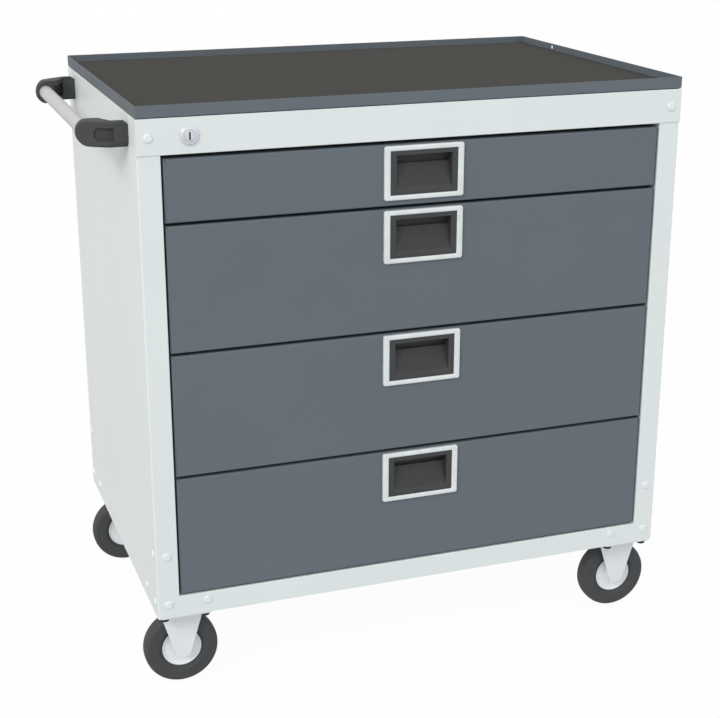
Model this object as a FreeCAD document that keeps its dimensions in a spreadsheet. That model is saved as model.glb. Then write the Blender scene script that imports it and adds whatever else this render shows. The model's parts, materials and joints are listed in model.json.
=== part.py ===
import FreeCAD, Part
import os
import Sketcher

# A four-drawer tool trolley: a folded sheet cabinet on fixed casters, with a push handle on its left side,
# a lipped tray on top and one lock for all drawers. Millimetres, X to the right, the front faces -Y, Z up,
# with z = 0 on the floor and x = y = 0 in the middle of the cabinet.

SIZES = {
    # Cabinet
    "body_width": 800.0,
    "body_depth": 536.0,
    "body_height": 718.2,
    "panel_sheet": 1.5,
    "panel_bend": 2.5,
    "post_width": 32.0,
    "post_return": 40.0,
    "top_rail_height": 48.5,
    "top_rail_flange": 18.0,
    "side_flange": 15.0,
    "bottom_rail_height": 32.2,
    "bottom_rail_flange": 15.0,
    "rail_bend": 1.3,
    "seat_gap": 0.4,
    # Corner brackets and rivets
    "bracket_sheet": 2.5,
    "bracket_reach": 100.0,
    "bracket_arm": 27.0,
    "bracket_height": 110.0,
    "rivet_head_radius": 6.0,
    "rivet_head_height": 2.2,
    "rivet_head_round": 1.8,
    "rivet_shank_radius": 2.4,
    "rivet_hole_gap": 0.1,
    "rivet_inset": 16.0,
    "rivet_low": 21.2,
    "rivet_high": 96.7,
    "rivet_along": 73.5,
    "rail_rivet_drop": 25.0,
    # Tray and mat
    "tray_sheet": 1.5,
    "tray_lip": 17.0,
    "tray_corner": 2.5,
    "tray_bend": 1.0,
    "tray_foot": 1.0,
    "tray_foot_inset": 4.0,
    "tray_hole_radius": 3.5,
    "tray_hole_drop": 5.6,
    "tray_hole_back": 150.0,
    "mat_thickness": 4.5,
    "mat_margin": 1.0,
    # Drawers
    "drawer_gap": 4.0,
    "side_gap": 3.0,
    "shallow_front": 86.0,
    "front_sheet": 1.2,
    "front_depth": 20.0,
    "front_bend": 1.3,
    "front_return": 24.0,
    "front_relief_radius": 0.9,
    "front_relief_inset": 2.2,
    "box_sheet": 1.0,
    "box_rise": 6.0,
    "box_drop": 18.0,
    "catch_depth": 8.0,
    "catch_height": 9.5,
    "catch_reach": 9.0,
    # Pulls
    "pull_width": 118.0,
    "pull_height": 75.7,
    "pull_bar_side": 9.0,
    "pull_bar_end": 7.0,
    "pull_proud": 4.5,
    "pull_corner": 3.5,
    "pull_inner_corner": 1.0,
    "pull_round": 2.2,
    "pull_drop": 3.4,
    "cup_gap": 0.2,
    "cup_sink": 3.2,
    "cup_depth": 17.0,
    "cup_floor": 2.0,
    "cup_rim_side": 9.5,
    "cup_rim_end": 5.5,
    "cup_finger_height": 11.0,
    # Slides
    "slide_width": 13.0,
    "slide_height": 45.0,
    "slide_sheet": 1.4,
    "slide_gap": 0.4,
    "slide_lip": 10.0,
    "slide_length": 480.0,
    "slide_setback": 25.0,
    "slide_rise": 26.5,
    "box_tail": 2.0,
    "upright_width": 30.0,
    "upright_setback": 5.0,
    # Lock
    "lock_inset": 70.7,
    "lock_drop": 24.4,
    "rosette_radius": 12.8,
    "rosette_proud": 3.5,
    "rosette_round": 3.0,
    "barrel_radius": 9.5,
    "barrel_length": 21.5,
    "plug_radius": 7.5,
    "plug_gap": 0.06,
    "plug_proud": 0.5,
    "keyway_width": 3.5,
    "keyway_height": 11.3,
    "keyway_depth": 9.0,
    "lock_nut_radius": 13.0,
    "lock_nut_height": 4.0,
    "tail_radius": 4.0,
    "cam_radius": 7.0,
    "cam_sheet": 2.5,
    "cam_throw": 10.0,
    "cam_pin_radius": 2.0,
    "cam_start_angle": 45.0,
    "bar_gap": 0.5,
    "bar_sheet": 3.0,
    "bar_width": 18.0,
    "bar_post_gap": 4.5,
    "bar_slot_gap": 0.7,
    "bar_tine": 3.5,
    "bar_foot": 55.0,
    "hook_reach": 16.0,
    "hook_height": 10.0,
    "hook_rise": 15.6,
    "hook_catch_drop": 12.1,
    "hook_slot_gap": 1.5,
    "guide_height": 20.0,
    "guide_wall": 4.0,
    "guide_gap": 0.3,
    "guide_rise": 140.0,
    # Handle
    "handle_span": 448.0,
    "handle_drop": 26.5,
    "handle_reach": 49.0,
    "handle_nose_radius": 17.2,
    "handle_foot_depth": 17.0,
    "handle_foot_corner": 4.0,
    "handle_foot_length": 18.7,
    "handle_lean": 45.0,
    "handle_cheek": 42.0,
    "handle_cheek_depth": 30.0,
    "handle_tip_depth": 11.0,
    "handle_shoulder": 18.0,
    "handle_shoulder_step": 0.6,
    "handle_edge": 2.5,
    "handle_chamfer_height": 7.5,
    "handle_chamfer_depth": 7.0,
    "tube_radius": 10.0,
    "tube_wall": 1.5,
    "tube_gap": 0.1,
    "tube_socket": 12.0,
    "pocket_start": 19.4,
    "pocket_depth": 9.5,
    "pocket_height": 16.8,
    "pocket_length": 24.6,
    "pocket_fade": 4.5,
    "pocket_corner": 6.4,
    "hollow_lip": 0.8,
    "hollow_end": 36.0,
    "hollow_height": 19.0,
    "hollow_wall": 2.5,
    "screw_inset": 9.0,
    "screw_radius": 3.0,
    "screw_head_radius": 5.0,
    "screw_head_height": 6.0,
    "screw_gap": 0.2,
    "screw_tail": 13.0,
    # Casters
    "wheel_radius": 55.3,
    "wheel_width": 26.0,
    "tyre_round": 5.0,
    "tyre_step_radius": 33.2,
    "tyre_step_depth": 2.0,
    "hub_radius": 29.4,
    "hub_web_radius": 27.1,
    "hub_boss_radius": 11.0,
    "hub_rim_inset": 3.0,
    "hub_web_depth": 2.0,
    "axle_radius": 5.0,
    "axle_gap": 0.05,
    "axle_drop": 74.5,
    "caster_inset_side": 41.2,
    "caster_inset_end": 52.4,
    "caster_plate": 80.0,
    "caster_plate_depth": 100.0,
    "caster_plate_sheet": 3.0,
    "caster_plate_corner": 8.0,
    "caster_bolt_spacing": 60.0,
    "caster_bolt_depth": 80.0,
    "fork_sheet": 2.5,
    "fork_wheel_gap": 5.8,
    "fork_boss_gap": 0.5,
    "fork_top_width": 69.0,
    "fork_end_radius": 12.8,
    "fork_end_rise": 3.0,
    "bolt_radius": 4.0,
    "bolt_gap": 0.2,
    "bolt_head_radius": 6.8,
    "bolt_head_height": 6.0,
    "bolt_head_round": 1.2,
    "bolt_tail": 4.0,
}

doc = FreeCAD.newDocument("trolley")
sheet = doc.addObject("Spreadsheet::Sheet", "dims")
for row, (label, amount) in enumerate(SIZES.items(), start=1):
    sheet.set(f"A{row}", label)
    sheet.set(f"B{row}", str(amount))
    sheet.setAlias(f"B{row}", label)
doc.recompute()


class Size:
    """A length kept as an expression on the sheet, so that sums of sizes stay tied to their cells."""

    def __init__(self, text):
        self.text = str(text)

    def __add__(self, other):
        return Size(f"({self.text} + {as_text(other)})")

    def __sub__(self, other):
        return Size(f"({self.text} - {as_text(other)})")

    def __mul__(self, factor):
        return Size(f"({self.text} * {as_text(factor)})")

    def __truediv__(self, factor):
        return Size(f"({self.text} / {as_text(factor)})")

    def __neg__(self):
        return Size(f"(0 - {self.text})")


def as_text(value):
    return value.text if isinstance(value, Size) else str(value)


def of(label):
    """The named size on the sheet."""
    return Size(f"dims.{label}")


TURNS = {
    "+x": ((0, 1, 0), 90),
    "-x": ((0, 1, 0), -90),
    "+y": ((1, 0, 0), -90),
    "-y": ((1, 0, 0), 90),
    "+z": ((0, 0, 1), 0),
    "-z": ((1, 0, 0), 180),
}


def place(thing, point, direction="+z"):
    """Put a piece at a point, with its own z axis turned to the direction."""
    axis, angle = TURNS[direction]
    thing.Placement = FreeCAD.Placement(FreeCAD.Vector(), FreeCAD.Rotation(FreeCAD.Vector(*axis), angle))
    for letter, value in zip("xyz", point):
        thing.setExpression(f"Placement.Base.{letter}", as_text(value))
    return thing


def box(x, y, z):
    """A block between two places along each axis, the low one first."""
    block = doc.addObject("Part::Box", "block")
    for prop, (low, high) in zip(("Length", "Width", "Height"), (x, y, z)):
        block.setExpression(prop, as_text(high - low))
    return place(block, (x[0], y[0], z[0]))


def rod(point, direction, radius, length):
    """A round bar from a point along a direction."""
    bar = doc.addObject("Part::Cylinder", "rod")
    bar.setExpression("Radius", as_text(radius))
    bar.setExpression("Height", as_text(length))
    return place(bar, point, direction)


def hexagon(point, direction, radius, length):
    """A six-sided bar from a point along a direction."""
    bar = doc.addObject("Part::Prism", "hexagon")
    bar.Polygon = 6
    bar.setExpression("Circumradius", as_text(radius))
    bar.setExpression("Height", as_text(length))
    return place(bar, point, direction)


def prism(plane, corners, low, high):
    """A many-sided block: corners drawn on the XY, XZ or YZ plane, thick from low to high across it."""
    body = doc.addObject("PartDesign::Body", "prism")
    sketch = body.newObject("Sketcher::SketchObject", "outline")
    role = f"{plane}_Plane"
    origin_plane = [item for item in body.Origin.OriginFeatures if item.Role == role][0]
    sketch.AttachmentSupport = [(origin_plane, "")]
    sketch.MapMode = "FlatFace"
    points = [FreeCAD.Vector(number(a), number(b), 0) for a, b in corners]
    count = len(points)
    for index in range(count):
        sketch.addGeometry(Part.LineSegment(points[index], points[(index + 1) % count]), False)
    for index in range(count):
        sketch.addConstraint(Sketcher.Constraint("Coincident", index, 2, (index + 1) % count, 1))
    for index, (a, b) in enumerate(corners):
        for kind, value in (("DistanceX", a), ("DistanceY", b)):
            spot = sketch.addConstraint(Sketcher.Constraint(kind, -1, 1, index, 1, number(value)))
            sketch.setExpression(f"Constraints[{spot}]", as_text(value))
    pad = body.newObject("PartDesign::Pad", "thickness")
    pad.Profile = sketch
    pad.setExpression("Length", as_text(high - low))
    # A pad on the XZ plane grows towards -Y, so that body starts from its high side.
    letter, start = {"XY": ("z", low), "XZ": ("y", high), "YZ": ("x", low)}[plane]
    body.setExpression(f"Placement.Base.{letter}", as_text(start))
    return body


def number(value):
    """What a size is worth now, for the first drawing of an outline and for picking edges."""
    return float(sheet.evalExpression(as_text(value)))


def fuse(pieces):
    """One solid made of several overlapping or touching pieces."""
    if len(pieces) == 1:
        return pieces[0]
    whole = doc.addObject("Part::MultiFuse", "fuse")
    whole.Shapes = pieces
    whole.Refine = True
    return whole


def group(pieces):
    """Separate solids kept together."""
    if len(pieces) == 1:
        return pieces[0]
    several = doc.addObject("Part::Compound", "group")
    several.Links = pieces
    return several


def cut(base, tools):
    """The base with every tool taken away."""
    if not tools:
        return base
    left = doc.addObject("Part::Cut", "cut")
    left.Base = base
    left.Tool = group(tools)
    left.Refine = True
    return left


def common(first, second):
    """What two pieces share."""
    shared = doc.addObject("Part::Common", "common")
    shared.Base = first
    shared.Tool = second
    shared.Refine = True
    return shared


def near(a, b):
    return abs(a - b) < 0.01


def rounded(base, radius, picked):
    """The base with the picked edges rounded. picked(edge box, whole box) says which."""
    doc.recompute()
    whole = base.Shape.BoundBox
    reach = number(radius)
    fillet = doc.addObject("Part::Fillet", "fillet")
    fillet.Base = base
    chosen = [i for i, edge in enumerate(base.Shape.Edges, start=1) if picked(edge.BoundBox, whole)]
    fillet.Edges = [(i, reach, reach) for i in chosen]
    return fillet


def end_rim(direction):
    """Picks the rim at the end of a rod that points along the direction."""
    letter = direction[1].upper()

    def picked(edge, whole):
        if direction[0] == "-":
            return near(getattr(edge, letter + "Max"), getattr(whole, letter + "Min"))
        return near(getattr(edge, letter + "Min"), getattr(whole, letter + "Max"))

    return picked


nodes = []


def node(label, thing):
    """Name a finished sub-part; its file takes the same name."""
    thing.Label = label
    nodes.append(thing)
    return thing


# Shared places.
half_width = of("body_width") / 2
half_depth = of("body_depth") / 2
front = -half_depth
back = half_depth
panel = of("panel_sheet")
bottom = of("wheel_radius") + of("axle_drop")
top = bottom + of("body_height")
opening_half = half_width - of("post_width")
opening_low = bottom + of("bottom_rail_height")
opening_high = top - of("top_rail_height")
gap = of("drawer_gap")
deep_front = (opening_high - opening_low - gap * 5 - of("shallow_front")) / 3
slide_front = front + of("slide_setback")
slide_back = slide_front + of("slide_length")
box_half = opening_half - of("slide_width")

# Drawer fronts from the top down: low and high edge of each.
DRAWERS = ("1", "2", "3", "4")
front_low = {"4": opening_low + gap}
front_high = {"4": opening_low + gap + deep_front}
for level, below in (("3", "4"), ("2", "3")):
    front_low[level] = front_high[below] + gap
    front_high[level] = front_low[level] + deep_front
front_low["1"] = front_high["2"] + gap
front_high["1"] = front_low["1"] + of("shallow_front")
slide_middle = {i: front_low[i] + of("box_rise") + of("slide_rise") for i in DRAWERS}
slide_top = {i: slide_middle[i] + of("slide_height") / 2 for i in DRAWERS}

SIDES = {"left": -1, "right": 1}


def across(side, inner, outer):
    """The span along X on one side of the middle, from two distances off the middle."""
    return (inner, outer) if side > 0 else (-outer, -inner)


def along(end, inner, outer):
    """The same along Y, with the front end at -1 and the back end at 1."""
    return (inner, outer) if end > 0 else (-outer, -inner)


def off_middle(sign, distance):
    return distance if sign > 0 else -distance


# Rivet places: three in an L at each bottom corner of the front, the back and both sides, and one at each
# end of the top rail.
rivet_hole = of("rivet_shank_radius") + of("rivet_hole_gap")
rivet_front_places = []
rivet_back_places = []
rivet_side_places = []
corner_pattern = (("rivet_inset", "rivet_low"), ("rivet_inset", "rivet_high"), ("rivet_along", "rivet_low"))
for sign in (-1, 1):
    for inset, height in corner_pattern:
        x = off_middle(sign, half_width - of(inset))
        y = off_middle(sign, half_depth - of(inset))
        z = bottom + of(height)
        rivet_front_places.append((x, z))
        rivet_back_places.append((x, z))
        rivet_side_places.append((y, z))
rail_rivet_places = [(off_middle(sign, half_width - of("rivet_inset")), top - of("rail_rivet_drop"))
                     for sign in (-1, 1)]
frame_depth = panel + of("bracket_sheet") * 2 + panel


def front_holes(places):
    return [rod((x, front - panel * 2, z), "+y", rivet_hole, frame_depth + panel * 2) for x, z in places]


def back_holes():
    return [rod((x, back + panel, z), "-y", rivet_hole, frame_depth + panel) for x, z in rivet_back_places]


def side_holes(sign):
    start = off_middle(sign, half_width + panel)
    direction = "-x" if sign > 0 else "+x"
    return [rod((start, y, z), direction, rivet_hole, frame_depth) for y, z in rivet_side_places]


def caster_places():
    """Each caster's name with the middle of its plate."""
    reach_x = half_width - of("caster_inset_side")
    reach_y = half_depth - of("caster_inset_end")
    for end, end_letter in ((-1, "f"), (1, "r")):
        for side, side_letter in ((-1, "l"), (1, "r")):
            yield end_letter + side_letter, off_middle(side, reach_x), off_middle(end, reach_y)


def bolt_places(x, y):
    half_x = of("caster_bolt_spacing") / 2
    half_y = of("caster_bolt_depth") / 2
    return [(x + half_x * a, y + half_y * b) for a in (-1, 1) for b in (-1, 1)]


def bolt_holes(x, y):
    """Clearance holes for one caster's bolts, from below its plate to above the corner bracket."""
    low = bottom - of("caster_plate_sheet") * 2
    length = of("caster_plate_sheet") * 2 + panel * 2 + of("bracket_sheet") * 2
    return [rod((a, b, low), "+z", of("bolt_radius") + of("bolt_gap"), length) for a, b in bolt_places(x, y)]


# Lock places, used by the post, the rail and the lock itself.
lock_x = -(half_width - of("lock_inset"))
lock_z = top - of("lock_drop")
rail_front = front - panel
barrel_end = rail_front + of("barrel_length")
bar_front = barrel_end + of("bar_gap") * 2
bar_back = bar_front + of("bar_sheet")
bar_outer = opening_half + panel + of("bar_post_gap") + of("bar_width")
bar_inner = opening_half + panel + of("bar_post_gap")
bar_throw = of("cam_throw") * Size("sin(dims.cam_start_angle * 1deg)")
hook_low = {i: slide_top[i] + of("hook_rise") for i in DRAWERS}
hook_high = {i: hook_low[i] + of("hook_height") for i in DRAWERS}

# Handle places: the foot sits on the left panel, the nose holds the tube.
panel_left = -half_width
handle_z = top - of("handle_drop")
tube_x = panel_left - of("handle_reach")
handle_outer = of("handle_span") / 2
screw_y = handle_outer - of("screw_inset")

# Side panels: wall, front post with its return, top flange and rear flange, folded from one sheet.
panel_high = top - panel
for side_label, side in SIDES.items():
    wall_x = across(side, half_width - panel, half_width)
    wall = box(wall_x, (front, back), (bottom, panel_high))
    relief = of("panel_bend") + of("seat_gap")
    wall_top = box(wall_x, (front + relief, back - relief), (panel_high, top))
    flange = box(across(side, half_width - of("side_flange"), half_width),
                 (front + of("top_rail_flange") + of("seat_gap"), back - relief), (panel_high, top))
    post_x = across(side, opening_half, half_width)
    post_ends = [box(post_x, (front, front + panel), z) for z in ((bottom, opening_low), (opening_high, panel_high))]
    inner_face = across(side, opening_half, opening_half + panel)
    fold = box(inner_face, (front, front + of("post_return")), (opening_low, opening_high))
    post = fuse([box(post_x, (front, front + panel), (opening_low, opening_high)), fold])
    inner_side = "XMax" if side < 0 else "XMin"

    def post_bent(edge, whole, inner_side=inner_side):
        upright = near(edge.XLength, 0) and near(edge.YMax, whole.YMin)
        return upright and near(edge.XMin, getattr(whole, inner_side))

    post = rounded(post, of("rail_bend"), post_bent)
    rear = box(post_x, (back - panel, back), (bottom, panel_high))
    folded = fuse([wall, wall_top, flange, post] + post_ends + [rear])
    holes = front_holes([p for p in rivet_front_places + rail_rivet_places]) + back_holes() + side_holes(side)
    if side < 0:
        for end in (-1, 1):
            start = (panel_left - panel, off_middle(end, screw_y), handle_z)
            holes.append(rod(start, "+x", of("screw_radius") + of("screw_gap"), panel * 3))
        for level in DRAWERS:
            slot_gap = of("hook_slot_gap")
            low = hook_low[level] - bar_throw * 2 - slot_gap
            slot_y = (bar_front - slot_gap, bar_back + slot_gap)
            holes.append(box((-(opening_half + panel * 2), -(opening_half - panel)), slot_y,
                             (low, hook_high[level] + slot_gap)))
    outer_side = "XMin" if side < 0 else "XMax"

    def bent(edge, whole, outer_side=outer_side):
        outer = near(edge.XLength, 0) and near(edge.XMin, getattr(whole, outer_side))
        end = near(edge.YMin, whole.YMin) or near(edge.YMax, whole.YMax)
        return outer and end and near(edge.YLength, 0)

    def top_edge(edge, whole, outer_side=outer_side):
        outer = near(edge.XLength, 0) and near(edge.XMin, getattr(whole, outer_side))
        return outer and near(edge.ZMin, whole.ZMax)

    folded = rounded(folded, of("rail_bend"), top_edge)
    node(f"side_panel_{side_label}", cut(rounded(folded, of("panel_bend"), bent), holes))

# Back panel, held behind the rear flanges.
back_inner = back - panel * 2
back_half = half_width - panel - of("seat_gap")
back_sheet = box((-back_half, back_half), (back_inner, back - panel), (bottom + panel, panel_high))
node("back_panel", cut(back_sheet, back_holes()))

# Floor with its upturned front rail.
floor_half = half_width - panel
floor_sheet = box((-floor_half, floor_half), (front + panel, back_inner), (bottom, bottom + panel))
rail_face = box((-opening_half, opening_half), (front, front + panel), (bottom, opening_low))
rail_lip = box((-opening_half, opening_half), (front, front + of("bottom_rail_flange")),
               (opening_low - panel, opening_low))
floor_holes = front_holes(rivet_front_places)
for letters, x, y in caster_places():
    floor_holes += bolt_holes(x, y)


def floor_bent(edge, whole):
    return near(edge.YMax, whole.YMin) and near(edge.ZMin, whole.ZMax)


floor_rail = rounded(fuse([floor_sheet, rail_face, rail_lip]), of("rail_bend"), floor_bent)
node("floor_panel", cut(floor_rail, floor_holes))

# Top rail, lapped over the posts.
rail_plate = box((-half_width, half_width), (rail_front, front), (opening_high, top))
rail_top = box((-back_half, back_half), (rail_front, front + of("top_rail_flange")), (top - panel, top))
rail_low = box((-opening_half, opening_half), (rail_front, front + of("top_rail_flange")),
               (opening_high, opening_high + panel))


def rail_bent(edge, whole):
    in_front = near(edge.YMax, whole.YMin) and edge.XLength > 1
    return in_front and (near(edge.ZMin, whole.ZMax) or near(edge.ZMax, whole.ZMin))


rail = rounded(fuse([rail_plate, rail_top, rail_low]), of("rail_bend"), rail_bent)
lock_hole = rod((lock_x, rail_front - panel, lock_z), "+y", of("barrel_radius") + of("rivet_hole_gap"), panel * 3)
node("top_rail", cut(rail, front_holes(rail_rivet_places) + [lock_hole]))

# Corner brackets: a front or back leg, a side leg and a foot, inside each bottom corner.
arm_top = opening_low - panel - of("seat_gap")
leg_sheet = of("bracket_sheet")
corner_low = bottom + panel
brackets = []
for end in (-1, 1):
    face = half_depth - panel if end < 0 else half_depth - panel * 2
    for side in (-1, 1):
        wall_face = half_width - panel
        reach_x = across(side, half_width - of("bracket_reach"), wall_face)
        arm_x = across(side, wall_face - of("bracket_arm"), wall_face)
        leg_y = along(end, face - leg_sheet, face)
        reach_y = along(end, half_depth - of("bracket_reach"), face)
        arm_y = along(end, face - of("bracket_arm"), face)
        leg_x = across(side, wall_face - leg_sheet, wall_face)
        tall = (corner_low, bottom + of("bracket_height"))
        short = (corner_low, arm_top)
        legs = [box(reach_x, leg_y, short), box(arm_x, leg_y, tall), box(leg_x, reach_y, short),
                box(leg_x, arm_y, tall), box(reach_x, reach_y, (corner_low, corner_low + leg_sheet))]
        holes = front_holes(rivet_front_places) if end < 0 else back_holes()
        holes += side_holes(side)
        x = off_middle(side, half_width - of("caster_inset_side"))
        y = off_middle(end, half_depth - of("caster_inset_end"))
        holes += bolt_holes(x, y)
        brackets.append(cut(fuse(legs), holes))
node("corner_brackets", group(brackets))

# Rivets: a flat head with a round shoulder outside, a shank through sheet and bracket.


def rivet(point, outward, inward, grip):
    """One rivet whose head stands on a face at the point."""
    head = rod(point, outward, of("rivet_head_radius"), of("rivet_head_height"))
    head = rounded(head, of("rivet_head_round"), end_rim(outward))
    return fuse([head, rod(point, inward, of("rivet_shank_radius"), grip)])


rivets = []
for x, z in rivet_front_places:
    rivets.append(rivet((x, front, z), "-y", "+y", panel + leg_sheet))
for x, z in rail_rivet_places:
    rivets.append(rivet((x, rail_front, z), "-y", "+y", panel * 2 + leg_sheet))
for x, z in rivet_back_places:
    rivets.append(rivet((x, back, z), "+y", "-y", panel * 2 + leg_sheet))
for side in (-1, 1):
    for y, z in rivet_side_places:
        point = (off_middle(side, half_width), y, z)
        out, inward = ("+x", "-x") if side > 0 else ("-x", "+x")
        rivets.append(rivet(point, out, inward, panel + leg_sheet))
node("frame_rivets", group(rivets))

# Tray and mat.
tray_sheet = of("tray_sheet")
tray_top = top + of("tray_lip")
tray_low = top + of("tray_foot")
tray_outer = box((-half_width, half_width), (rail_front, back), (tray_low, tray_top))


def tray_upright(edge, whole):
    return edge.ZLength > 1


def tray_bent(edge, whole):
    return near(edge.ZMax, whole.ZMin)


tray_block = rounded(rounded(tray_outer, of("tray_corner"), tray_upright), of("tray_bend"), tray_bent)
foot_half = half_width - of("tray_foot_inset")
tray_foot = box((-foot_half, foot_half), (rail_front + of("tray_foot_inset"), back - of("tray_foot_inset")),
                (top, tray_low))
inner_half = half_width - tray_sheet
mat_low = tray_low + tray_sheet
tray_well = box((-inner_half, inner_half), (rail_front + tray_sheet, back - tray_sheet),
                (mat_low, tray_top + tray_sheet))
tray_hole = rod((-half_width - tray_sheet, of("tray_hole_back"), tray_top - of("tray_hole_drop")), "+x",
                of("tray_hole_radius"), (half_width + tray_sheet) * 2)
node("top_tray", cut(fuse([tray_block, tray_foot]), [tray_well, tray_hole]))
mat_edge = tray_sheet + of("mat_margin")
node("tray_mat", box((-half_width + mat_edge, half_width - mat_edge), (rail_front + mat_edge, back - mat_edge),
                     (mat_low, mat_low + of("mat_thickness"))))

# Rear uprights that carry the back ends of the slides.
upright_back = slide_back - of("upright_setback")
upright_front = upright_back - of("upright_width")
uprights = []
for side in (-1, 1):
    z = (opening_low, opening_high)
    web = box(across(side, opening_half, opening_half + panel), (upright_front, upright_back), z)
    flange_x = across(side, opening_half, half_width - panel)
    flanges = [box(flange_x, (upright_front, upright_front + panel), z),
               box(flange_x, (upright_back - panel, upright_back), z)]
    uprights.append(fuse([web] + flanges))
node("slide_uprights", group(uprights))

# Slides: three nested channels. The cabinet member is fixed to the post and the upright, the drawer member
# to the box, and the middle one runs between them.
slide_sheet = of("slide_sheet")
slide_gap = of("slide_gap")
slide_y = (slide_front, slide_back)


def channel(side, web, lip, middle, half_height):
    """A channel with its web across two distances off the middle and two lips, about a height."""
    web_x = across(side, web[0], web[1])
    lip_x = across(side, lip[0], lip[1])
    return fuse([box(web_x, slide_y, (middle - half_height, middle + half_height)),
                 box(lip_x, slide_y, (middle + half_height - slide_sheet, middle + half_height)),
                 box(lip_x, slide_y, (middle - half_height, middle - half_height + slide_sheet))])


cabinet_half = of("slide_height") / 2
middle_half = cabinet_half - slide_sheet - slide_gap
drawer_half = middle_half - slide_sheet - slide_gap
middle_outer = opening_half - slide_sheet - slide_gap
cabinet_rails = []
for level in DRAWERS:
    mids = []
    inners = []
    for side in (-1, 1):
        lip_end = opening_half - of("slide_lip")
        cabinet_rails.append(channel(side, (opening_half - slide_sheet, opening_half), (lip_end, opening_half),
                                     slide_middle[level], cabinet_half))
        mids.append(channel(side, (middle_outer - slide_sheet, middle_outer), (lip_end, middle_outer),
                            slide_middle[level], middle_half))
        inner_end = middle_outer - slide_sheet - slide_gap
        inners.append(channel(side, (box_half, box_half + slide_sheet), (box_half, inner_end),
                              slide_middle[level], drawer_half))
    node(f"drawer_{level}_mid_rails", group(mids))
    node(f"drawer_{level}_rails", group(inners))
node("slide_cabinet_rails", group(cabinet_rails))

# Drawers: a folded front, a box behind it with a catch for the lock bar, and a pull.
front_half = opening_half - of("side_gap")
front_sheet = of("front_sheet")
front_rear = front + of("front_depth")
box_sheet = of("box_sheet")
box_back = slide_back + of("box_tail")
pull_half = of("pull_width") / 2
frame_inner_half = pull_half - of("pull_bar_side")
for level in DRAWERS:
    low = front_low[level]
    high = front_high[level]
    pull_top = high - of("pull_drop")
    pull_low = pull_top - of("pull_height")
    hole_top = pull_top - of("pull_bar_end")
    hole_low = pull_low + of("pull_bar_end")

    # Front pan.
    pan = box((-front_half, front_half), (front, front_rear), (low, high))

    def pan_bent(edge, whole):
        on_face = near(edge.YMax, whole.YMin)
        return on_face

    hollow_half = front_half - front_sheet
    hollow = box((-hollow_half, hollow_half), (front + front_sheet, front_rear - front_sheet),
                 (low + front_sheet, high - front_sheet))
    # The rim turns inward at the back, and the box is fixed to it.
    mouth_half = front_half - of("front_return")
    mouth = box((-mouth_half, mouth_half), (front_rear - front_sheet * 2, front_rear + front_sheet),
                (low + of("front_return"), high - of("front_return")))
    window = box((-frame_inner_half, frame_inner_half), (front - front_sheet, front + front_sheet * 2),
                 (hole_low, hole_top))
    # A small round relief is left where two folds meet at each upper corner.
    relief_x = front_half - of("front_relief_inset")
    reliefs = [rod((off_middle(side, relief_x), front - front_sheet, high - of("front_relief_inset")), "+y",
                   of("front_relief_radius"), front_sheet * 4) for side in (-1, 1)]
    pan = rounded(pan, of("front_bend") + front_sheet, pan_bent)
    hollow = rounded(hollow, of("front_bend"), pan_bent)
    node(f"drawer_{level}_front", cut(pan, [hollow, mouth, window] + reliefs))

    # Box with its catch.
    box_low = low + of("box_rise")
    box_high = high - of("box_drop")
    shell = box((-box_half, box_half), (front_rear, box_back), (box_low, box_high))
    inside_half = box_half - box_sheet
    inside = box((-inside_half, inside_half), (front_rear + box_sheet, box_back - box_sheet),
                 (box_low + box_sheet, box_high + box_sheet))
    catch_front = bar_back + of("bar_gap") * 8
    catch_low = slide_top[level] + of("hook_rise") - of("hook_catch_drop")
    catch = box((-(box_half + of("catch_reach")), -box_half), (catch_front, catch_front + of("catch_depth")),
                (catch_low, catch_low + of("catch_height")))
    node(f"drawer_{level}_box", fuse([cut(shell, [inside]), catch]))

    # Pull: a light frame on the face and a dark cup through the window.
    frame_front = front - of("pull_proud")
    ring = cut(box((-pull_half, pull_half), (frame_front, front), (pull_low, pull_top)),
               [box((-frame_inner_half, frame_inner_half), (frame_front - front_sheet, front + front_sheet),
                    (hole_low, hole_top))])

    def outer_corner(edge, whole):
        through = edge.YLength > 1
        return through and near(edge.XLength, 0) and (near(edge.XMin, whole.XMin) or near(edge.XMax, whole.XMax))

    def inner_corner(edge, whole):
        through = edge.YLength > 1 and near(edge.XLength, 0)
        return through and edge.XMin > whole.XMin + 1 and edge.XMax < whole.XMax - 1 and near(edge.ZLength, 0)

    def on_front(edge, whole):
        return near(edge.YMax, whole.YMin)

    ring = rounded(ring, of("pull_inner_corner"), inner_corner)
    ring = rounded(ring, of("pull_corner"), outer_corner)
    node(f"pull_{level}_frame", rounded(ring, of("pull_round"), on_front))

    cup_half = frame_inner_half - of("cup_gap")
    cup_front = front - of("cup_sink")
    cup_rear = front + of("cup_depth")
    block = box((-cup_half, cup_half), (cup_front, cup_rear),
                (hole_low + of("cup_gap"), hole_top - of("cup_gap")))
    block = rounded(block, of("pull_inner_corner"), outer_corner)
    dish_top = hole_top - of("cup_gap") - of("cup_rim_end")
    dish_low = hole_low + of("cup_gap") + of("cup_rim_end")
    dish_half = cup_half - of("cup_rim_side")
    dish_deep = cup_rear - of("cup_floor")
    proud = cup_front - of("cup_sink")
    dish = prism("YZ", [(proud, dish_low), (cup_front, dish_low), (dish_deep, dish_top - of("cup_finger_height")),
                        (dish_deep, dish_top), (proud, dish_top)], -dish_half, dish_half)
    node(f"pull_{level}_cup", cut(block, [dish]))

# Lock: housing through the top rail, plug with keyway and tail, nut, cam with a pin, and the bar it moves.
plug_bore = of("plug_radius") + of("plug_gap")
rosette_front = rail_front - of("rosette_proud")
rosette = rod((lock_x, rosette_front, lock_z), "+y", of("rosette_radius"), of("rosette_proud"))


def rosette_edge(edge, whole):
    return near(edge.YMax, whole.YMin) and near(edge.XLength, whole.XLength)


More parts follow.
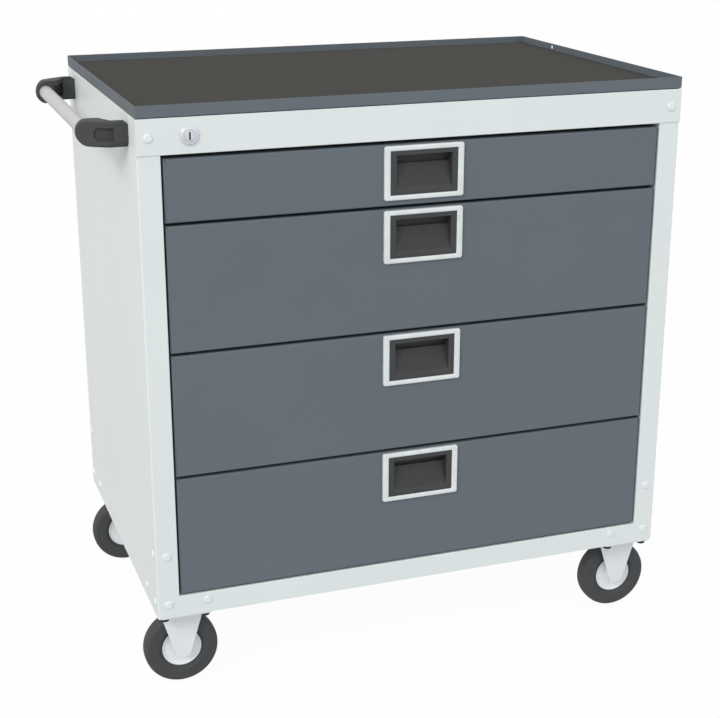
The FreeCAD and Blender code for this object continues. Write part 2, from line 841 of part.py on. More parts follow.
barrel = rod((lock_x, rail_front, lock_z), "+y", of("barrel_radius"), of("barrel_length"))
bore = rod((lock_x, rosette_front - panel, lock_z), "+y", plug_bore, of("barrel_length") * 2)
node("lock_housing", cut(fuse([rounded(rosette, of("rosette_round"), rosette_edge), barrel]), [bore]))
nut = hexagon((lock_x, front, lock_z), "+y", of("lock_nut_radius"), of("lock_nut_height"))
nut_bore = rod((lock_x, front - panel, lock_z), "+y", of("barrel_radius") + of("plug_gap"), of("barrel_length"))
node("lock_nut", cut(nut, [nut_bore]))

plug_front = rosette_front - of("plug_proud")
cam_front = bar_back + of("bar_gap")
cam_back = cam_front + of("cam_sheet")
plug = rod((lock_x, plug_front, lock_z), "+y", of("plug_radius"), barrel_end - plug_front)
tail = rod((lock_x, barrel_end, lock_z), "+y", of("tail_radius"), cam_back - barrel_end)
key_half = of("keyway_width") / 2
key_tall = of("keyway_height") / 2
keyway = box((lock_x - key_half, lock_x + key_half), (plug_front - panel, plug_front + of("keyway_depth")),
             (lock_z - key_tall, lock_z + key_tall))
node("lock_plug", cut(fuse([plug, tail]), [keyway]))

# The cam is drawn with its arm to the left and then turned up to the unlocked place.
origin = Size("0 * dims.cam_throw")
cam_disc = rod((origin, origin, origin), "+y", of("cam_radius"), of("cam_sheet"))
cam_arm = box((-of("cam_throw"), origin), (origin, of("cam_sheet")),
              (-of("cam_pin_radius") * 1.5, of("cam_pin_radius") * 1.5))
cam_end = rod((-of("cam_throw"), origin, origin), "+y", of("cam_pin_radius") * 1.5, of("cam_sheet"))
cam_pin = rod((-of("cam_throw"), -(of("bar_gap") + of("bar_sheet")), origin), "+y", of("cam_pin_radius"),
              of("bar_gap") + of("bar_sheet") + of("cam_sheet"))
cam_bore = rod((origin, -of("cam_sheet"), origin), "+y", of("tail_radius"), of("cam_sheet") * 3)
cam = cut(fuse([cam_disc, cam_arm, cam_end, cam_pin]), [cam_bore])
cam.Placement = FreeCAD.Placement(FreeCAD.Vector(), FreeCAD.Rotation(FreeCAD.Vector(0, 1, 0), 45))
cam.setExpression("Placement.Rotation.Angle", "dims.cam_start_angle")
for letter, value in zip("xyz", (lock_x, cam_front, lock_z)):
    cam.setExpression(f"Placement.Base.{letter}", as_text(value))
node("lock_cam", cam)

# Bar: an upright strip with a fork for the cam pin and a hook over each catch.
fork_z = lock_z + bar_throw
fork_gap = of("cam_pin_radius") + of("bar_slot_gap")
fork_tall = fork_gap + of("bar_tine")
fork_end = lock_x - of("tail_radius") - of("bar_gap") * 3
bar_y = (bar_front, bar_back)
strip = box((-bar_outer, -bar_inner), bar_y, (bottom + of("bar_foot"), fork_z + fork_tall))
arm = box((-bar_outer, fork_end), bar_y, (fork_z - fork_tall, fork_z + fork_tall))
slot_start = lock_x - of("cam_throw") - of("cam_pin_radius") * 2
slot = box((slot_start, fork_end + panel), (bar_front - panel, bar_back + panel),
           (fork_z - fork_gap, fork_z + fork_gap))
hooks = [box((-bar_inner, -(bar_inner - of("hook_reach"))), bar_y, (hook_low[i], hook_high[i])) for i in DRAWERS]
node("lock_bar", cut(fuse([strip, arm] + hooks), [slot]))

guides = []
for level in ("4", "2"):
    low = front_low[level] + of("guide_rise")
    wall = of("guide_wall")
    play = of("guide_gap")
    guide = box((-(half_width - panel), -(bar_inner - wall)), (bar_front - wall, bar_back + wall),
                (low, low + of("guide_height")))
    passage = box((-(bar_outer + play), -(bar_inner - play)), (bar_front - play, bar_back + play),
                  (low - panel, low + of("guide_height") + panel))
    guides.append(cut(guide, [passage]))
node("lock_bar_guides", group(guides))

# Handle: two leaning brackets, hollow on the inner side, a tube in their sockets and a screw from inside.
nose = of("handle_nose_radius")
tip_x = tube_x - nose
nose_inner = handle_outer - of("handle_lean")
foot_inner = handle_outer - of("handle_foot_depth")
for end, end_label in ((-1, "front"), (1, "rear")):
    plan = [(panel_left, handle_outer),
            (panel_left - of("handle_shoulder"), handle_outer - of("handle_shoulder_step")),
            (panel_left - of("handle_cheek"), nose_inner + of("handle_cheek_depth")),
            (tip_x, nose_inner + of("handle_tip_depth")),
            (tip_x, nose_inner),
            (tube_x + nose, nose_inner),
            (panel_left - of("handle_foot_length"), foot_inner),
            (panel_left, foot_inner)]
    seen_from_above = prism("XY", [(x, off_middle(end, y)) for x, y in plan], handle_z - nose - panel,
                            handle_z + nose + panel)
    span = along(end, nose_inner - panel, handle_outer + panel)
    arm_outline = box((tube_x, panel_left), span, (handle_z - nose, handle_z + nose))
    nose_round = rod((tube_x, span[0], handle_z), "+y", nose, span[1] - span[0])
    bracket = common(seen_from_above, fuse([arm_outline, nose_round]))

    def side_edge(edge, whole):
        return not near(edge.XLength, 0)

    bracket = rounded(bracket, of("handle_edge"), side_edge)
    socket_start = off_middle(end, nose_inner - panel)
    outward = "+y" if end > 0 else "-y"
    socket = rod((tube_x, socket_start, handle_z), outward, of("tube_radius") + of("tube_gap"),
                 of("tube_socket") + panel)
    pocket_half = of("pocket_height") / 2
    pocket_floor = handle_outer - of("pocket_depth")
    pocket_right = panel_left - of("pocket_start")
    pocket_left = pocket_right - of("pocket_length")
    pocket_plan = [(pocket_right, handle_outer + panel), (pocket_right, pocket_floor),
                   (pocket_left, pocket_floor - of("pocket_fade")), (pocket_left, handle_outer + panel)]
    pocket = prism("XY", [(x, off_middle(end, y)) for x, y in pocket_plan], handle_z - pocket_half,
                   handle_z + pocket_half)

    def fading_end(edge, whole):
        return near(edge.XMax, whole.XMin) and near(edge.ZLength, 0)

    pocket = rounded(pocket, of("pocket_corner"), fading_end)
    hollow_right = panel_left - of("handle_foot_length") - of("hollow_lip")
    hollow_left = panel_left - of("hollow_end")
    hollow_floor = pocket_floor - of("hollow_wall")
    hollow_plan = [(hollow_right, nose_inner - panel), (hollow_right, hollow_floor),
                   (hollow_left, hollow_floor - of("pocket_fade")), (hollow_left, nose_inner - panel)]
    hollow_tall = of("hollow_height") / 2
    hollow = prism("XY", [(x, off_middle(end, y)) for x, y in hollow_plan], handle_z - hollow_tall,
                   handle_z + hollow_tall)
    corner = of("handle_foot_corner")
    foot_top = handle_z + nose
    foot_corner = prism("XZ", [(panel_left, foot_top - corner), (panel_left + panel, foot_top - corner),
                               (panel_left + panel, foot_top + panel), (panel_left - corner, foot_top + panel),
                               (panel_left - corner, foot_top)], *span)
    bevel_low = handle_z - nose
    bevel_plan = [(handle_outer, bevel_low + of("handle_chamfer_height")),
                  (handle_outer - of("handle_chamfer_depth"), bevel_low), (handle_outer, bevel_low)]
    bevel = prism("YZ", [(off_middle(end, y), z) for y, z in bevel_plan], tip_x, panel_left)
    screw_hole = rod((panel_left + panel, off_middle(end, screw_y), handle_z), "-x",
                     of("screw_radius") + of("screw_gap"), of("screw_tail") + panel * 2)
    node(f"handle_bracket_{end_label}", cut(bracket, [socket, pocket, hollow, foot_corner, bevel, screw_hole]))
tube_half = nose_inner + of("tube_socket")
tube = rod((tube_x, -tube_half, handle_z), "+y", of("tube_radius"), tube_half * 2)
tube_bore = rod((tube_x, -tube_half - panel, handle_z), "+y", of("tube_radius") - of("tube_wall"),
                (tube_half + panel) * 2)
node("handle_tube", cut(tube, [tube_bore]))
screws = []
for end in (-1, 1):
    y = off_middle(end, screw_y)
    seat = panel_left + panel
    head = rod((seat, y, handle_z), "+x", of("screw_head_radius"), of("screw_head_height"))
    shank = rod((seat, y, handle_z), "-x", of("screw_radius"), panel + of("screw_tail"))
    screws.append(fuse([head, shank]))
node("handle_screws", group(screws))

# Casters: fork with its plate, flush axle, hub and tyre; the bolts go up into the corner brackets.
half_wheel = of("wheel_width") / 2
leg_inner = half_wheel + of("fork_wheel_gap")
leg_outer = leg_inner + of("fork_sheet")
axle_z = of("wheel_radius")
plate_low = bottom - of("caster_plate_sheet")
boss_half = leg_inner - of("fork_boss_gap")
end_radius = of("fork_end_radius")
end_z = axle_z + of("fork_end_rise")
half_top = of("fork_top_width") / 2
# Each leg's sides run from the plate to the rounded end, and touch it where they leave it.
leg_tall = as_text(plate_low - end_z)
leg_reach = f"sqrt({half_top.text}^2 + {leg_tall}^2)"
leg_lean = f"(atan2({leg_tall}; {half_top.text}) - acos({end_radius.text} / {leg_reach}))"
touch_x = end_radius * Size(f"cos({leg_lean})")
touch_z = end_z + end_radius * Size(f"sin({leg_lean})")
axles = []
bolts = []
for letters, x, y in caster_places():
    half_plate = of("caster_plate") / 2
    half_long = of("caster_plate_depth") / 2
    plate = box((x - half_plate, x + half_plate), (y - half_long, y + half_long), (plate_low, bottom))

    def plate_corner(edge, whole):
        return near(edge.ZLength, whole.ZLength)

    pieces = [rounded(plate, of("caster_plate_corner"), plate_corner)]
    leg_corners = [(x - half_top, plate_low), (x - touch_x, touch_z), (x + touch_x, touch_z),
                   (x + half_top, plate_low)]
    for near_y, far_y in ((y - leg_outer, y - leg_inner), (y + leg_inner, y + leg_outer)):
        pieces.append(prism("XZ", leg_corners, near_y, far_y))
        pieces.append(rod((x, near_y, end_z), "+y", end_radius, of("fork_sheet")))
    axle_hole = rod((x, y - leg_outer * 1.5, axle_z), "+y", of("axle_radius"), leg_outer * 3)
    node(f"caster_fork_{letters}", cut(fuse(pieces), [axle_hole] + bolt_holes(x, y)))
    axles.append(rod((x, y - leg_outer, axle_z), "+y", of("axle_radius"), leg_outer * 2))

    tyre_start = (x, y - half_wheel, axle_z)

    def tread_edge(edge, whole):
        return near(edge.XLength, whole.XLength)

    tread = rounded(rod(tyre_start, "+y", of("wheel_radius"), of("wheel_width")), of("tyre_round"), tread_edge)
    tyre_cuts = [rod((x, y - half_wheel * 1.5, axle_z), "+y", of("hub_radius"), half_wheel * 3)]
    step = of("tyre_step_depth")
    for start in (y - half_wheel - step, y + half_wheel - step):
        tyre_cuts.append(rod((x, start, axle_z), "+y", of("tyre_step_radius"), step * 2))
    node(f"caster_tyre_{letters}", cut(tread, [fuse(tyre_cuts)]))

    rim_half = half_wheel - of("hub_rim_inset")
    rim = rod((x, y - rim_half, axle_z), "+y", of("hub_radius"), rim_half * 2)
    web_half = rim_half - of("hub_web_depth")
    dishes = []
    for start in (y - rim_half - of("hub_web_depth"), y + web_half):
        dishes.append(rod((x, start, axle_z), "+y", of("hub_web_radius"), of("hub_web_depth") * 2))
    boss = rod((x, y - boss_half, axle_z), "+y", of("hub_boss_radius"), boss_half * 2)
    hub_bore = rod((x, y - leg_outer, axle_z), "+y", of("axle_radius") + of("axle_gap"), leg_outer * 2)
    node(f"caster_hub_{letters}", cut(fuse([cut(rim, dishes), boss]), [hub_bore]))

    for a, b in bolt_places(x, y):
        bolt_grip = of("caster_plate_sheet") + panel + of("bracket_sheet") + of("bolt_tail")
        head = rod((a, b, plate_low), "-z", of("bolt_head_radius"), of("bolt_head_height"))
        bolts.append(fuse([rounded(head, of("bolt_head_round"), end_rim("-z")),
                           rod((a, b, plate_low), "+z", of("bolt_radius"), bolt_grip)]))
node("caster_axles", group(axles))
node("caster_bolts", group(bolts))

doc.recompute()

# Nothing is written unless every object is sound.
for thing in doc.Objects:
    if any(word in state for state in thing.State for word in ("Invalid", "Error")):
        raise RuntimeError(f"{thing.Label} did not recompute: {thing.State}")
for thing in nodes:
    if thing.Shape.isNull() or not thing.Shape.isValid() or not thing.Shape.Solids:
        raise RuntimeError(f"{thing.Label} has no valid solid")

os.makedirs("parts", exist_ok=True)
for thing in nodes:
    thing.Shape.exportStep(f"parts/{thing.Label}.step")
    print(thing.Label, len(thing.Shape.Solids), "solids", round(thing.Shape.Volume / 1000, 1), "cm3")
print(len(nodes), "nodes")
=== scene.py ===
# %% [markdown]
# A rolling tool trolley, dressed for its portrait.
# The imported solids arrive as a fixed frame: every piece is already where the maker put it, in metres.
# This lesson only adds what the eye expects to see: paint, rubber, plated steel, and the small forms
# that a plain solid leaves out, such as the ribs of the mat and the eased edges of folded sheet.

# %% Load the frame
import json
import math

import bmesh
import bpy
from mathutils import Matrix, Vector


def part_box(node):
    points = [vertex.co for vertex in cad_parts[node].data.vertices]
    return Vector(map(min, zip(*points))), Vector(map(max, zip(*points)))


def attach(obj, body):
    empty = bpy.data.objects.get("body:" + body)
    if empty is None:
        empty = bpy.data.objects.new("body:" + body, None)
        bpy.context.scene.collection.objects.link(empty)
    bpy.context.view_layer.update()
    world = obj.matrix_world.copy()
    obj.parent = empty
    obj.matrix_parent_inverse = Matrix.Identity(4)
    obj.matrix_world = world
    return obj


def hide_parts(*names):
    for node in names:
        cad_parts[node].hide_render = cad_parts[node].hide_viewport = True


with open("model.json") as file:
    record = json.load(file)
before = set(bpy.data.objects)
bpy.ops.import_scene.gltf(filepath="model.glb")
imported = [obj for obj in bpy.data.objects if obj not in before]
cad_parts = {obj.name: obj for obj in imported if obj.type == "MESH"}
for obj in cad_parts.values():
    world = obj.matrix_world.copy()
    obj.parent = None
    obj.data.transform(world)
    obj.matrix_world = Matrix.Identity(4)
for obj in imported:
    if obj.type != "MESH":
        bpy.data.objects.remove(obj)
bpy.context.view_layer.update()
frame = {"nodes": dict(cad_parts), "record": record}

solids = frame["nodes"]
record = frame["record"]
slot_of = {part["node"]: part["material_slot"] for part in record["subparts"]}
body_of = {node: body for body, nodes in record["behaviour"]["bodies"].items() for node in nodes}


def rounded(place):
    """A place in metres, to the millimetre, for printing."""
    return [round(v, 3) for v in place]


# %% [markdown]
# The camera stands in front and to the left of the trolley, a little above it, as a photographer would
# stand to show the drawers and the handle together. A long lens keeps the upright edges almost parallel.
# Its place could be found by eye, but it was worked out from the cabinet's edges.

# %% Camera
CAMERA_PLACE = (-0.76185, -2.15919, 1.17091)
CAMERA_AIM = (-0.0080, -0.0253, 0.4029)
LENS_MM = 74.56
SENSOR_MM = 36.0


def added(name, data):
    """A new object in the scene."""
    thing = bpy.data.objects.new(name, data)
    bpy.context.scene.collection.objects.link(thing)
    return thing


def facing(place, aim):
    """The turn that points a camera or a lamp from its place to its aim."""
    return (Vector(aim) - Vector(place)).to_track_quat("-Z", "Y").to_euler()


lens = bpy.data.cameras.new("portrait_lens")
lens.sensor_fit = "HORIZONTAL"
lens.sensor_width = SENSOR_MM
lens.lens = LENS_MM
camera = added("portrait_camera", lens)
camera.location = CAMERA_PLACE
camera.rotation_euler = facing(CAMERA_PLACE, CAMERA_AIM)
bpy.context.scene.camera = camera
bpy.context.scene.view_settings.view_transform = "Standard"
print("camera:", LENS_MM, "mm lens at", rounded(CAMERA_PLACE))

# %% [markdown]
# The studio is a white sweep. Nearly all the light comes from the surround, which is why the paint looks
# so even on every side. As a light it grows stronger towards the front and weaker towards the back, as a
# room does with a wall of soft boxes behind the photographer, so each face has a shade of its own. To the
# camera it is plain white.

# %% Surround
WHITE = (1.0, 1.0, 1.0, 1.0)
ROOM_LIGHT = 0.86
ROOM_SLOPE = (0.03, -0.20, 0.05)

world = bpy.data.worlds.new("white_surround")
bpy.context.scene.world = world
world.use_nodes = True
air = world.node_tree
air.nodes.clear()
seen = air.nodes.new("ShaderNodeBackground")
seen.inputs["Color"].default_value = WHITE
seen.inputs["Strength"].default_value = 1.0
direction = air.nodes.new("ShaderNodeTexCoord")
slope = air.nodes.new("ShaderNodeVectorMath")
slope.operation = "DOT_PRODUCT"
slope.inputs[1].default_value = ROOM_SLOPE
air.links.new(direction.outputs["Generated"], slope.inputs[0])
strength = air.nodes.new("ShaderNodeMath")
strength.operation = "ADD"
strength.inputs[1].default_value = ROOM_LIGHT
air.links.new(slope.outputs["Value"], strength.inputs[0])
lit = air.nodes.new("ShaderNodeBackground")
lit.inputs["Color"].default_value = WHITE
air.links.new(strength.outputs[0], lit.inputs["Strength"])
air_path = air.nodes.new("ShaderNodeLightPath")
choose = air.nodes.new("ShaderNodeMixShader")
air.links.new(air_path.outputs["Is Camera Ray"], choose.inputs["Fac"])
air.links.new(lit.outputs[0], choose.inputs[1])
air.links.new(seen.outputs[0], choose.inputs[2])
sky = air.nodes.new("ShaderNodeOutputWorld")
air.links.new(choose.outputs[0], sky.inputs["Surface"])
print("surround: white, light at", ROOM_LIGHT, "sloping by", ROOM_SLOPE)

# %% [markdown]
# Two soft lamps give the even light a direction. The key stands far off in front and to the left, which
# brings out the edges and the rivet heads. A sun would do as well, but its shadows are harder. The small
# warm lamp takes the chill off the left side, which is a little yellower than the front.

# %% Lamps
# Name, place, aim, side in metres, watts and colour.
LAMPS = (
    ("key_lamp", (-12.0, -10.0, 11.0), (0.0, 0.0, 0.45), 5.0, 1050.0, (1.0, 1.0, 1.0)),
    ("left_lamp", (-4.0, -0.6, 4.2), (-0.4, 0.0, 0.45), 1.8, 30.0, (1.0, 0.85, 0.50)),
)

for name, place, aim, side, watts, colour in LAMPS:
    light = bpy.data.lights.new(name, "AREA")
    light.size = side
    light.energy = watts
    light.color = colour
    lamp = added(name, light)
    lamp.location = place
    lamp.rotation_euler = facing(place, aim)
    print(name, "of", watts, "W and", side, "m")

# %% [markdown]
# The floor is a wide pale sheet under the wheels. A curved sweep would hide the horizon too, but a flat
# sheet with the right finish does it with one face. Its finish comes after the paints.

# %% Floor
FLOOR_HALF = 9.0


def meshed(form, name):
    """Keep a worked mesh as mesh data, and let the working copy go."""
    mesh = bpy.data.meshes.new(name)
    form.to_mesh(mesh)
    form.free()
    return mesh


sweep = bmesh.new()
for x, y in ((-1, -1), (1, -1), (1, 1), (-1, 1)):
    sweep.verts.new((x * FLOOR_HALF, y * FLOOR_HALF, 0.0))
sweep.faces.new(sweep.verts)
floor = added("studio_floor", meshed(sweep, "studio_floor"))
print("floor:", FLOOR_HALF * 2, "m wide")

# %% [markdown]
# Each finish is a small recipe of noise, so that no surface is one flat colour. These helpers keep the
# recipes short: a fleck of noise in the part's own metres, a tint between two shades, a roughness that
# wanders, and a bump.

# %% Helpers for finishes
NOISE_LOW, NOISE_HIGH = 0.3, 0.7  # most of the noise lies between these


def blank(name):
    """A new material with its node tree and its shader."""
    made = bpy.data.materials.new(name)
    made.use_nodes = True
    return made, made.node_tree, made.node_tree.nodes["Principled BSDF"]


def fleck(tree, scale, detail, stretch=(1.0, 1.0, 1.0)):
    """Noise measured in the part's own metres, stretched along the axes."""
    where = tree.nodes.new("ShaderNodeTexCoord")
    turn = tree.nodes.new("ShaderNodeMapping")
    turn.inputs["Scale"].default_value = stretch
    tree.links.new(where.outputs["Object"], turn.inputs["Vector"])
    noise = tree.nodes.new("ShaderNodeTexNoise")
    noise.inputs["Scale"].default_value = scale
    noise.inputs["Detail"].default_value = detail
    tree.links.new(turn.outputs["Vector"], noise.inputs["Vector"])
    return noise.outputs["Fac"]


def tint(tree, shader, amount, colour, spread):
    """Base colour between a darker and a lighter shade of one colour."""
    shades = [tuple(min(c * share, 1.0) for c in colour) for share in (1.0 - spread, 1.0 + spread)]
    ramp = tree.nodes.new("ShaderNodeValToRGB")
    for stop, place, shade in zip(ramp.color_ramp.elements, (NOISE_LOW, NOISE_HIGH), shades):
        stop.position = place
        stop.color = (*shade, 1.0)
    tree.links.new(amount, ramp.inputs["Fac"])
    tree.links.new(ramp.outputs["Color"], shader.inputs["Base Color"])


def sheen(tree, shader, amount, low, high):
    """Roughness that wanders between two values."""
    spread = tree.nodes.new("ShaderNodeMapRange")
    spread.inputs["From Min"].default_value = NOISE_LOW
    spread.inputs["From Max"].default_value = NOISE_HIGH
    spread.inputs["To Min"].default_value = low
    spread.inputs["To Max"].default_value = high
    tree.links.new(amount, spread.inputs["Value"])
    tree.links.new(spread.outputs["Result"], shader.inputs["Roughness"])


def texture(tree, shader, height, depth, strength):
    """Bump of a depth in metres."""
    bump = tree.nodes.new("ShaderNodeBump")
    bump.inputs["Strength"].default_value = strength
    bump.inputs["Distance"].default_value = depth
    tree.links.new(height, bump.inputs["Height"])
    tree.links.new(bump.outputs["Normal"], shader.inputs["Normal"])


finishes = {}
print("helpers: noise kept between", NOISE_LOW, "and", NOISE_HIGH)

# %% [markdown]
# Powder coat is the skin of nearly the whole trolley. It is a plastic paint baked on, with a faint orange
# peel about a millimetre across and a satin shine. The light grey of the body and the slate of the drawers
# are one recipe in two colours.

# %% Powder coat


def powder_coat(name, colour, shine, gloss):
    """Baked paint: broad faint patches, a satin shine and orange peel."""
    made, tree, shader = blank(name)
    shader.inputs["Specular IOR Level"].default_value = gloss
    tint(tree, shader, fleck(tree, scale=7.0, detail=4.0), colour, spread=0.012)
    sheen(tree, shader, fleck(tree, scale=40.0, detail=3.0), low=shine - 0.04, high=shine + 0.05)
    texture(tree, shader, fleck(tree, scale=750.0, detail=2.0), depth=0.00005, strength=0.3)
    finishes[name] = made


powder_coat("body_paint", (0.715, 0.765, 0.770), shine=0.42, gloss=0.30)
powder_coat("box_paint", (0.66, 0.70, 0.70), shine=0.45, gloss=0.35)
powder_coat("slate_paint", (0.132, 0.155, 0.176), shine=0.5, gloss=0.08)
print("powder coat: body, box and slate")

# %% [markdown]
# Moulded plastic and rubber share a fine grain from the mould. Rubber is duller and darker, and the wheel
# hubs and the rims of the pulls are light and smooth.

# %% Plastic and rubber


def moulded(name, colour, shine, grain, gloss):
    """Plastic or rubber with the grain of its mould."""
    made, tree, shader = blank(name)
    shader.inputs["Specular IOR Level"].default_value = gloss
    tint(tree, shader, fleck(tree, scale=60.0, detail=4.0), colour, spread=0.05)
    sheen(tree, shader, fleck(tree, scale=90.0, detail=3.0), low=shine - 0.05, high=shine + 0.06)
    texture(tree, shader, fleck(tree, scale=grain, detail=3.0), depth=0.0001, strength=0.4)
    finishes[name] = made


moulded("mat_rubber", (0.056, 0.056, 0.053), shine=0.8, grain=1800.0, gloss=0.15)
moulded("black_plastic", (0.052, 0.055, 0.058), shine=0.5, grain=2200.0, gloss=0.25)
moulded("pull_frame", (0.69, 0.735, 0.74), shine=0.38, grain=2000.0, gloss=0.35)
moulded("pull_cup", (0.0503, 0.0514, 0.0546), shine=0.5, grain=2200.0, gloss=0.3)
moulded("hub_plastic", (0.77, 0.80, 0.83), shine=0.4, grain=1500.0, gloss=0.4)
moulded("tyre", (0.056, 0.058, 0.060), shine=0.6, grain=1500.0, gloss=0.3)
print("plastic and rubber: mat, brackets, pulls, hubs and tyres")

# %% [markdown]
# Inside a pull less light reaches the dish than the rim, so painted shade makes the dish a shade darker.
# Two materials on one cup could show that, but one finish that knows how far back it is does it without a
# seam, so the colour is dimmed behind the front face of the cup.

# %% Shade inside the pulls
CUP_SHADE_REACH = 0.002
CUP_SHADE = 0.80


def painted_shade_inside(made, front, reach, share):
    """Paint shade into a finish behind a front face, fully so beyond a short reach."""
    tree = made.node_tree
    shader = tree.nodes["Principled BSDF"]
    colour = shader.inputs["Base Color"].links[0].from_socket
    where = tree.nodes.new("ShaderNodeTexCoord")
    parts = tree.nodes.new("ShaderNodeSeparateXYZ")
    depth = tree.nodes.new("ShaderNodeMapRange")
    dim = tree.nodes.new("ShaderNodeVectorMath")
    dim.operation = "SCALE"
    depth.inputs["From Min"].default_value = front + reach / 4
    depth.inputs["From Max"].default_value = front + reach
    depth.inputs["To Min"].default_value = 1.0
    depth.inputs["To Max"].default_value = share
    tree.links.new(where.outputs["Object"], parts.inputs["Vector"])
    tree.links.new(parts.outputs["Y"], depth.inputs["Value"])
    tree.links.new(colour, dim.inputs["Vector"])
    tree.links.new(depth.outputs["Result"], dim.inputs["Scale"])
    tree.links.new(dim.outputs["Vector"], shader.inputs["Base Color"])


# Painted shade: the dish of each pull is dimmed to CUP_SHADE of its colour behind the front face.
painted_shade_inside(finishes["pull_cup"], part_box("pull_1_cup")[0][1], CUP_SHADE_REACH, CUP_SHADE)
print("pulls:", CUP_SHADE, "of their colour inside")

# %% [markdown]
# Plated and anodised metal is a mirror made soft by tiny scratches. Stretching the noise along the tube
# gives the fine lines of a drawn tube. Most of these pieces look satin and pale rather than mirror-bright,
# so they are only partly bare metal.

# %% Metal
DRAWN_LINES = (30.0, 1.0, 30.0)  # fine across the tube, long along it
NO_STRETCH = (1.0, 1.0, 1.0)


def plated(name, colour, shine, stretch=NO_STRETCH, bare=1.0):
    """Metal with fine scratches; bare is the share of it that shines as metal."""
    made, tree, shader = blank(name)
    shader.inputs["Metallic"].default_value = bare
    tint(tree, shader, fleck(tree, scale=30.0, detail=5.0), colour, spread=0.03)
    sheen(tree, shader, fleck(tree, 300.0, 3.0, stretch), low=shine - 0.05, high=shine + 0.07)
    texture(tree, shader, fleck(tree, 2400.0, 2.0, stretch), depth=0.00001, strength=0.12)
    finishes[name] = made


plated("tube_metal", (0.585, 0.578, 0.605), shine=0.34, stretch=DRAWN_LINES, bare=0.25)
plated("lock_metal", (0.70, 0.70, 0.77), shine=0.3, bare=0.4)
plated("zinc_steel", (0.55, 0.56, 0.58), shine=0.4)
plated("caster_steel", (0.76, 0.79, 0.815), shine=0.5, bare=0.1)
plated("bolt_steel", (0.05, 0.05, 0.052), shine=0.5)
print("metal: tube, lock, zinc, casters and bolts")

# %% [markdown]
# To the eye the floor is nearly as white as the surround, so it has no horizon, and the small share of
# plain floor left in the mix keeps the shadow under the wheels. As a light it is even and dim, so
# undersides stay dark while the foot of the trolley is as bright as its head.

# %% Floor finish
FLOOR_COLOUR = (0.9, 0.9, 0.9)
FLOOR_ROUGH = 0.9
FLOOR_GLOW = 0.95
FLOOR_LIGHT = 0.62

floor_paint, floor_tree, floor_shader = blank("studio_white")
tint(floor_tree, floor_shader, fleck(floor_tree, scale=2.0, detail=2.0), FLOOR_COLOUR, spread=0.005)
floor_shader.inputs["Roughness"].default_value = FLOOR_ROUGH
glow = floor_tree.nodes.new("ShaderNodeEmission")
glow.inputs["Color"].default_value = WHITE
whiter = floor_tree.nodes.new("ShaderNodeMixShader")
whiter.inputs["Fac"].default_value = FLOOR_GLOW
floor_tree.links.new(floor_shader.outputs[0], whiter.inputs[1])
floor_tree.links.new(glow.outputs[0], whiter.inputs[2])
bounce = floor_tree.nodes.new("ShaderNodeEmission")
bounce.inputs["Color"].default_value = WHITE
bounce.inputs["Strength"].default_value = FLOOR_LIGHT
floor_path = floor_tree.nodes.new("ShaderNodeLightPath")
either = floor_tree.nodes.new("ShaderNodeMixShader")
floor_tree.links.new(floor_path.outputs["Is Camera Ray"], either.inputs["Fac"])
floor_tree.links.new(bounce.outputs[0], either.inputs[1])
floor_tree.links.new(whiter.outputs[0], either.inputs[2])
floor_tree.links.new(either.outputs[0], floor_tree.nodes["Material Output"].inputs["Surface"])
floor.data.materials.append(floor_paint)
print("floor finish:", FLOOR_GLOW, "white to the eye,", FLOOR_LIGHT, "as a light")

# %% [markdown]
# Every solid names a slot, and each slot has one of the finishes above, so one loop dresses them all. The
# rivets have a slightly lighter and glossier coat of their own, so their heads show brighter than the
# body.

# %% Coats on the solids
for node, slot in slot_of.items():
    mesh = solids[node].data
    mesh.materials.clear()
    mesh.materials.append(finishes[slot])
print("finishes:", len(finishes), "coats on", len(slot_of), "solids")
powder_coat("rivet_paint", (0.75, 0.80, 0.805), shine=0.34, gloss=0.5)
solids["frame_rivets"].data.materials[0] = finishes["rivet_paint"]
print("rivets: a coat of their own")

# %% [markdown]
# Pieces that the solids leave plain are made here and stand in for them. Each one takes the node's place,
# rides on the node's body and wears the node's finish, so one helper does all three. It shades the piece
# smooth, apart from creases, and can weigh the shading so that broad faces stay flat beside small rounds.

# %% Helper for pieces
EVEN_WEIGHT = 80


def stand_in(form, node, crease, even=False):
    """Turn a worked mesh into a piece that stands for a node; the crease is an angle in degrees."""
    bmesh.ops.recalc_face_normals(form, faces=form.faces)
    for face in form.faces:
        face.smooth = True
    mesh = meshed(form, node + "_form")
    mesh.set_sharp_from_angle(angle=math.radians(crease))
    mesh.materials.append(finishes[slot_of[node]])
    piece = added(node + "_form", mesh)
    if even:
        shading = piece.modifiers.new("even_shading", "WEIGHTED_NORMAL")
        shading.keep_sharp = True
        shading.weight = EVEN_WEIGHT
    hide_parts(node)
    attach(piece, body_of[node])


# %% [markdown]
# The mat in the tray is a rubber runner with fine ribs from left to right, about five millimetres apart.
# A bump could fake them, but they show at the edge of the mat, so they are drawn as one long profile and
# pulled across the tray.

# %% Ribbed mat
RIB_PITCH = 0.005
RIB_DEPTH = 0.0009
# Share of the pitch along the mat, and share of the depth below its top.
RIB_SHAPE = ((0.0, 1.0), (0.16, 1.0), (0.28, 0.25), (0.38, 0.0), (0.72, 0.0), (0.82, 0.25), (0.94, 1.0))
MAT_CREASE = 50.0

